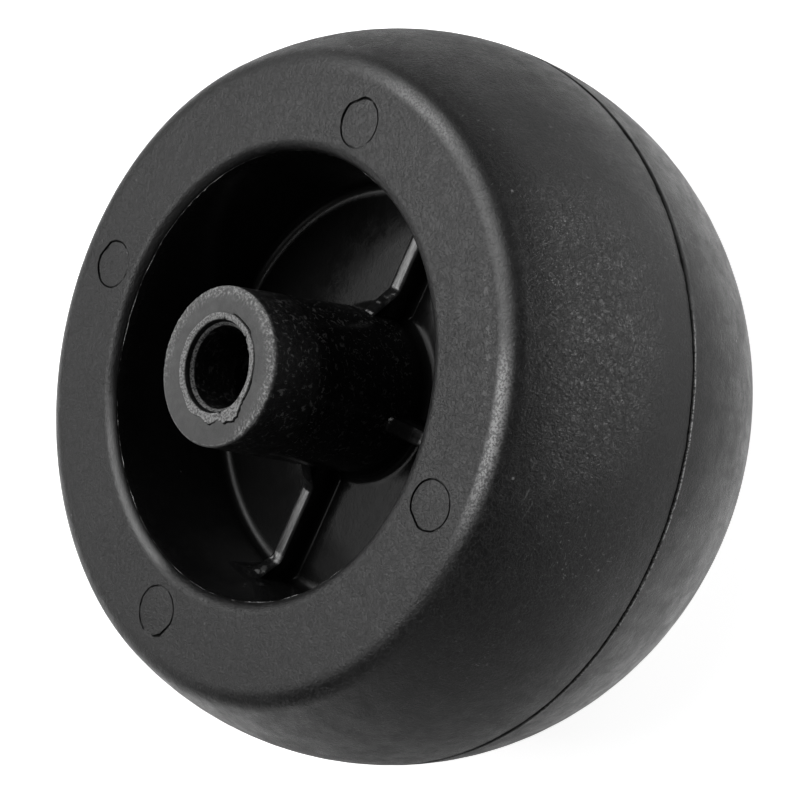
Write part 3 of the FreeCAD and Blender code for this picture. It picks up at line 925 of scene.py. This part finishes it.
class Plastic(Graph):
    """Black satin plastic: grain, wrinkles, dust and rub marks, worn at the shoulder and the hub's end,
    with painted highlights, painted glints and painted shade.
    """

    def __init__(self):
        super().__init__("black_plastic")
        self.find_place()
        self.find_noises()
        self.find_parts()
        self.find_rub_and_highlight()
        looks = {"Base Color": self.colour(), "Roughness": self.shine(), "Normal": self.relief()}
        looks["IOR"] = PLASTIC_IOR
        looks["Specular IOR Level"] = self.gloss()
        shader = self.node("ShaderNodeBsdfPrincipled", looks)
        self.node("ShaderNodeOutputMaterial", {"Surface": shader.outputs[0]})

    def zone(self, radius=None, height=None, angle=None):
        """A mask that is 1 where all the given ranges hold."""
        given = ((self.radius, radius), (self.height, height), (self.angle, angle))
        masks = [
            (self.span if len(places) == 2 else self.plateau)(value, *places)
            for value, places in given if places
        ]
        return reduce(self.times, masks)

    def find_place(self):
        """Where a point lies about the axle and beside the ribs, and what the mesh says of it."""
        self.place = self.node("ShaderNodeTexCoord").outputs["Object"]
        parts = self.node("ShaderNodeSeparateXYZ", {0: self.place}).outputs
        flat = {0: self.place, 1: (1.0, 1.0, 0.0)}
        flat = self.node("ShaderNodeVectorMath", flat, operation="MULTIPLY").outputs[0]
        self.radius = self.node("ShaderNodeVectorMath", {0: flat}, operation="LENGTH").outputs["Value"]
        self.height = parts["Z"]
        self.angle = self.math("ARCTAN2", parts["Y"], parts["X"])
        self.aside = self.math("MINIMUM", *(self.math("ABSOLUTE", parts[axis]) for axis in "XY"))
        self.trim_and_highlight = self.node("ShaderNodeAttribute", attribute_name="trim_and_highlight").outputs["Fac"]
        self.crease_shade = self.node("ShaderNodeAttribute", attribute_name="crease_shade").outputs["Fac"]

    def find_noises(self):
        """Noises that several looks share, from broad to fine, and the lines between the wrinkles."""
        self.broad = self.noise(self.place, *BROAD)
        self.middle = self.noise(self.place, *MIDDLE)
        self.wrinkle = self.noise(self.place, *WRINKLE)
        self.fine = self.noise(self.place, *FINE)
        drawn = {"Vector": self.place, "Rotation": SCRATCH_TURN, "Scale": SCRATCH_SCALE}
        self.streak = self.noise(self.node("ShaderNodeMapping", drawn).outputs[0], *STREAK)
        off_middle = self.math("ABSOLUTE", self.math("SUBTRACT", self.wrinkle, 0.5))
        self.lines = self.span(off_middle, 0.030, 0.006)

    def find_parts(self):
        """Masks of the wheel's parts that several looks share."""
        self.end = self.zone(*END)
        self.tread = self.zone(*TREAD)
        self.recess = self.zone(*RECESS)
        self.ribs = self.zone(*RIB_TOPS)
        self.corner = self.zone(*CORNER)
        rubbed = self.plus(self.zone(*RUBBED_RIGHT), self.zone(*RUBBED_TOP), 0.7)
        self.leather_and_glints = self.times(rubbed, self.zone(*RUBBED))

    def find_rub_and_highlight(self):
        """Wear and a painted highlight on the front shoulder, most of it low on the right, a scrape inside
        it, and a painted highlight on the mouth's rounding.
        """
        where = self.plus(self.zone(*SHOULDER_RIGHT), self.zone(*SHOULDER_TOP), 0.32)
        ground = self.plus(0.2, self.span(self.fine, 0.43, 0.57), 0.85)
        # Grainy wear and a painted highlight on the shoulder, with a wider faint painted highlight
        worn = self.plus(self.times(where, ground), self.zone(*SHOULDER_PAINTED_SHEEN), 0.17, clamp=True)
        worn = self.times(self.zone(*SHOULDER), worn)
        scrape = self.times(self.zone(*SCRAPE), self.span(self.wrinkle, 0.48, 0.62, 0.0, 0.18))
        rub_and_highlight = self.times(self.math("MAXIMUM", worn, scrape), self.zone(*FRONT))
        self.rub_and_highlight = self.math("MAXIMUM", rub_and_highlight, self.times(self.zone(*MOUTH), 0.42))

    def marks(self):
        """Dust specks anywhere, and scratches, nicks and painted glints on the tread."""
        speck = {"Vector": self.place, "Scale": DUST_SCALE, "Randomness": 1.0}
        speck = self.node("ShaderNodeTexVoronoi", speck)
        grain = self.node("ShaderNodeSeparateColor", {0: speck.outputs["Color"]}).outputs[0]
        few = self.math("GREATER_THAN", grain, DUST_FEW)
        dust = self.times(few, self.span(speck.outputs["Distance"], 0.16, 0.05))
        dust = self.times(dust, self.span(self.broad, 0.40, 0.6))
        dust = self.times(dust, self.plus(0.5, self.tread, 0.4))

        scratch = self.times(self.tread, self.span(self.broad, 0.42, 0.62))
        scratch = self.times(self.span(self.streak, 0.66, 0.74), scratch)

        # Painted glints: specks and wrinkle lines painted light, most where the tread is wrinkled
        glint = self.span(self.noise(self.place, *GLINT_SPECKS), 0.60, 0.66)
        glint = self.times(glint, self.span(self.middle, 0.44, 0.58, 0.15, 1.0))
        glint = self.plus(glint, self.lines, 0.25)
        glint = self.times(glint, self.plus(0.05, self.leather_and_glints, 0.95))

        nick = self.span(self.noise(self.place, *NICK), 0.62, 0.69)
        nick = self.times(nick, self.zone(*NICKED))
        nick = self.times(nick, self.span(self.broad, 0.44, 0.60, 0.04, 0.55))

        marks = self.plus(dust, scratch, 0.32, clamp=True)
        return self.plus(marks, self.plus(nick, glint, 0.75), clamp=True)

    def colour(self):
        """Mottled black with marks and painted glints, rubbed and painted with highlights at the edges,
        grey where the hub's end is worn, and painted shade in creases and deep in the recess.
        """
        tone = self.mix(self.span(self.broad, 0.3, 0.7), BLACK_LOW, BLACK_HIGH)
        pale = self.times(self.span(self.middle, 0.45, 0.75), 0.35)
        worn = self.mix(self.span(self.middle, 0.35, 0.7), END_LOW, END_HIGH)
        down = self.along(self.place, END_DARK_WAY)
        worn = self.mix(self.span(down, *END_DOWN, 0.0, 0.4), worn, END_DARK)
        # Trimmed flash and scuffs, partly painted highlights: the seam ridge's glint, the flash's lit top
        # and a ring all round the hub's edge
        bright = self.span(self.fine, 0.41, 0.57, 0.12, 1.0)
        bright = self.math("MULTIPLY", self.trim_and_highlight, bright, clamp=True)
        bore = self.times(self.zone(*BORE), self.span(self.streak, 0.58, 0.68, 0.0, 0.6))
        hub = self.times(self.zone(*HUB_SIDE), self.span(self.wrinkle, 0.58, 0.65, 0.0, 0.5))
        coats = (
            (pale, BLACK_PALE),
            (self.marks(), MARK_COLOUR),
            # Wear and painted highlights on the shoulder and the mouth
            (self.rub_and_highlight, RUB_AND_HIGHLIGHT_COLOUR),
            (self.end, worn),
            (bright, TRIM_AND_HIGHLIGHT_COLOUR),
            (bore, MARK_COLOUR),
            (hub, HUB_FLECK),
            # Painted shade in the grooves, gaps and creases
            (self.crease_shade, CREASE_SHADE_COLOUR),
            # Painted shade deep in the recess
            (self.times(self.recess, self.zone(*DEEP_SHADE)), DEEP_SHADE_COLOUR),
        )
        for share, coat in coats:
            tone = self.mix(share, tone, coat)
        return tone

    def shine(self):
        """Roughness: satin and a little uneven, smoother in the recess, rougher where it is rubbed."""
        shine = self.span(self.middle, 0.3, 0.7, *SHINE)
        blotch = self.span(self.noise(self.place, *BLOTCH), 0.35, 0.65, *SHINE_BLOTCH)
        shine = self.plus(shine, self.times(self.tread, blotch))
        changes = (
            (self.recess, SHINE_RECESS),
            (self.plus(self.ribs, self.corner), SHINE_RIBS),
            (self.end, SHINE_END),
            (self.rub_and_highlight, SHINE_RUB),
        )
        for where, change in changes:
            shine = self.plus(shine, where, change)
        return self.plus(shine, self.trim_and_highlight, SHINE_TRIM, clamp=True)

    def gloss(self):
        """Specular level: dull on the web, streaky on the ribs' tops, lost in the creases."""
        dull = self.span(self.height, *ABOVE_WEB, GLOSS_WEB - GLOSS, 0.0)
        gloss = self.plus(GLOSS, self.times(self.recess, dull))
        lengthwise = {0: self.aside, 1: self.times(self.radius, DRAG_ALONG)}
        lengthwise = self.node("ShaderNodeCombineXYZ", lengthwise).outputs[0]
        drag = self.span(self.noise(lengthwise, *DRAG), 0.35, 0.65, *GLOSS_RIBS)
        gloss = self.plus(gloss, self.times(self.ribs, drag))
        lit = self.plus(GLOSS_CORNER, self.zone(*CORNER_LIT), GLOSS_CORNER_LIT)
        gloss = self.plus(gloss, self.times(self.corner, lit))

        losses = (
            (self.zone(*GUSSETS), DULL_GUSSETS),
            (self.crease_shade, DULL_CREASE),
            (self.zone(*COLLAR), DULL_COLLAR),
            (self.zone(*UNRUBBED), DULL_UNRUBBED),
        )
        for where, loss in losses:
            gloss = self.lowered(gloss, where, loss)
        return gloss

    def relief(self):
        """Fine moulded grain, wrinkles on the rubbed tread, lumps at the ribs' ends and faint waves."""
        grain = self.plus(self.times(self.fine, 0.45), self.middle, 0.55)
        normal = self.bump(self.lowered(grain, self.recess, 0.85), *GRAIN_RELIEF)
        deep = self.times(self.plus(self.wrinkle, self.lines, 0.35), self.plus(0.1, self.leather_and_glints, 0.9))
        normal = self.bump(self.lowered(deep, self.recess, 0.9), *WRINKLE_RELIEF, normal)
        kinks = self.plus(self.zone(*KINK_AT_HUB), self.zone(*KINK_AT_WALL))
        kinks = self.times(kinks, self.times(self.recess, self.zone(*KINK_LEVEL)))
        kinks = self.times(kinks, self.span(self.aside, *KINK_ASIDE))
        normal = self.bump(self.times(self.noise(self.place, *LUMP), kinks), *KINK_RELIEF, normal)
        return self.bump(self.broad, *WAVE_RELIEF, normal)


# The floor's white in reflections, in metres along the picture's right and up, each laid on the floor
NEAR_RIGHT = (-0.03, 0.03, 0.055, 0.085)
NEAR_UP = (-0.10, -0.05, 0.03, 0.10)
FAR_RIGHT = (0.12, 0.20)
FAR_UP = (-0.06, 0.03, 0.12, 0.25)
LEFT_EDGE = (-0.075, -0.11)
LEFT_GLOW = 0.7
ABOVE_RIGHT = (-0.08, 0.04)
ABOVE_UP = (0.20, 0.30)
ABOVE_GLOW = 0.55
FLOOR_COLOUR = grey(0.65)
FLOOR_SEEN = 0.89
FLOOR_HALF = 3.0
FLOOR_DROP = 0.0001


def studio_floor():
    """Pale floor with the wheel's shadow, white to the camera and, in zones, in the wheel's reflections."""
    g = Graph("studio_floor")
    path = g.node("ShaderNodeLightPath").outputs
    mirrored = g.math("MAXIMUM", path["Is Glossy Ray"], path["Is Transmission Ray"])
    place = g.node("ShaderNodeTexCoord").outputs["Object"]
    right = g.along(place, floor_right())
    up = g.along(place, floor_up())
    near = g.times(g.plateau(right, *NEAR_RIGHT), g.plateau(up, *NEAR_UP))
    far = g.times(g.span(right, *FAR_RIGHT), g.plateau(up, *FAR_UP))
    left = g.span(right, *LEFT_EDGE, 0.0, LEFT_GLOW)
    above = g.times(g.span(up, *ABOVE_UP), g.span(right, *ABOVE_RIGHT, 0.0, ABOVE_GLOW))
    glow = g.math("MAXIMUM", g.math("MAXIMUM", near, far), g.math("MAXIMUM", left, above))
    seen = g.plus(g.times(mirrored, glow), path["Is Camera Ray"], FLOOR_SEEN)
    pale = g.node("ShaderNodeBsdfDiffuse", {"Color": FLOOR_COLOUR})
    white = g.node("ShaderNodeEmission", {"Color": grey(1), "Strength": seen})
    both = g.node("ShaderNodeAddShader", {0: pale.outputs[0], 1: white.outputs[0]})
    g.node("ShaderNodeOutputMaterial", {"Surface": both.outputs[0]})
    return g.material


# Camera, as fitted to the photo: where the wheel's middle and its axle are, seen from the camera
FOCAL_PIXELS = 2054.2
PICTURE_PIXELS = 800.0
SENSOR_MM = 36.0
CLIP_START = 0.01
WHEEL_MIDDLE = np.array((-1.582, -0.664, 358.883))
AXLE_LEFT = math.radians(42.634)
AXLE_UP = math.radians(6.647)
RIB_TURN = math.radians(63.6)

# Softboxes: how far and how large they are, then each one's azimuth, elevation and power. Azimuth 0 is
# towards the camera and grows to the picture's right, in degrees.
SOFTBOX_AWAY = 0.8
SOFTBOX_SIZE = 0.5
SOFTBOXES = (
    ("key", -45, 30, 2.0),
    ("left", -73, 28, 1.50),
    ("left_low", -70, 7, 2.05),
    ("left_high", -75, 50, 0.98),
    ("behind_left", -135, -5, 1.4),
    ("low", -40, -65, 0.31),
)

# Low panels, just clear of the floor: place along the picture's right and up, width, height and power
PANEL_GAP = 0.005
PANELS = (
    ("right", 0.20, 0.03, 0.15, 0.08, 0.12),
    ("right_far", 0.30, 0.06, 0.20, 0.10, 0.075),
    ("right_high", 0.30, 0.16, 0.20, 0.10, 0.030),
)
WORLD_STRENGTH = 0.035


def wheel_axes():
    """The wheel's X, Y and Z directions as the camera sees them: right, down and away."""
    flat = math.cos(AXLE_UP)
    axle = np.array((-math.sin(AXLE_LEFT) * flat, -math.sin(AXLE_UP), -math.cos(AXLE_LEFT) * flat))
    rising = np.array((0.0, -1.0, 0.0))
    rising = rising - axle * (rising @ axle)
    rising = rising / np.linalg.norm(rising)
    across = np.cross(rising, axle)
    x_axis = math.cos(RIB_TURN) * across + math.sin(RIB_TURN) * rising
    y_axis = -math.sin(RIB_TURN) * across + math.cos(RIB_TURN) * rising
    return np.array((x_axis, y_axis, axle))


def camera_axes():
    """The camera's right, up and back directions in the wheel's frame, as columns."""
    return wheel_axes() @ np.diag((1.0, -1.0, -1.0))


def floor_right():
    """The picture's right, laid flat on the floor."""
    across = camera_axes()[:, 0]
    return Vector((across[0], across[1], 0.0)).normalized()


def floor_up():
    """The picture's up, laid flat on the floor."""
    right = floor_right()
    way = Vector((-right.y, right.x, 0.0))
    return way if way.dot(Vector(camera_axes()[:, 1])) > 0 else -way


def add_camera():
    """The camera of the photo's view."""
    spot = np.array((0.0, 0.0, parting)) - wheel_axes() @ WHEEL_MIDDLE
    data = bpy.data.cameras.new("camera")
    data.sensor_width = SENSOR_MM
    data.lens = FOCAL_PIXELS * SENSOR_MM / PICTURE_PIXELS
    data.clip_start = CLIP_START
    camera = bpy.data.objects.new("camera", data)
    matrix = Matrix([list(row) + [0.0] for row in camera_axes()] + [[0, 0, 0, 1]])
    matrix.translation = Vector(spot * MM)
    camera.matrix_world = matrix
    bpy.context.scene.collection.objects.link(camera)
    bpy.context.scene.camera = camera


def add_lamp(name, spot, width, depth, power):
    """A soft rectangular light that looks at the wheel."""
    data = bpy.data.lights.new(name, "AREA")
    data.shape = "RECTANGLE"
    data.size = width
    data.size_y = depth
    data.energy = power
    light = bpy.data.objects.new(name, data)
    middle = Vector((0, 0, parting * MM))
    light.location = spot
    light.rotation_euler = (spot - middle).to_track_quat("Z", "Y").to_euler()
    bpy.context.scene.collection.objects.link(light)


def add_lights():
    """Softboxes around the wheel, low panels on the floor, and a faint white world."""
    for name, azimuth, elevation, power in SOFTBOXES:
        turn = math.radians(azimuth)
        lift = math.radians(elevation)
        way = np.array((math.sin(turn) * math.cos(lift), math.sin(lift), math.cos(turn) * math.cos(lift)))
        spot = Vector((0, 0, parting * MM)) + Vector(camera_axes() @ way) * SOFTBOX_AWAY
        add_lamp(name, spot, SOFTBOX_SIZE, SOFTBOX_SIZE, power)
    for name, right, up, width, tall, power in PANELS:
        spot = floor_right() * right + floor_up() * up + Vector((0, 0, 0.5 * tall + PANEL_GAP))
        add_lamp(name, spot, width, tall, power)
    world = bpy.data.worlds.new("studio")
    world.use_nodes = True
    back = world.node_tree.nodes["Background"]
    back.inputs["Color"].default_value = grey(1)
    back.inputs["Strength"].default_value = WORLD_STRENGTH
    bpy.context.scene.world = world


def add_floor():
    """A large square floor just below the wheel."""
    mesh = bpy.data.meshes.new("floor")
    square = ((-1, -1), (1, -1), (1, 1), (-1, 1))
    corners = [(x * FLOOR_HALF, y * FLOOR_HALF, 0) for x, y in square]
    mesh.from_pydata(corners, [], [(0, 1, 2, 3)])
    floor = add_piece("floor", mesh, studio_floor())
    floor.location.z = -FLOOR_DROP


wheel = add_piece("wheel_skin", wheel_mesh(), Plastic().material)
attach(wheel, "root")
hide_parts("deck_wheel")

add_floor()
add_camera()
add_lights()
bpy.context.scene.view_settings.view_transform = "Standard"
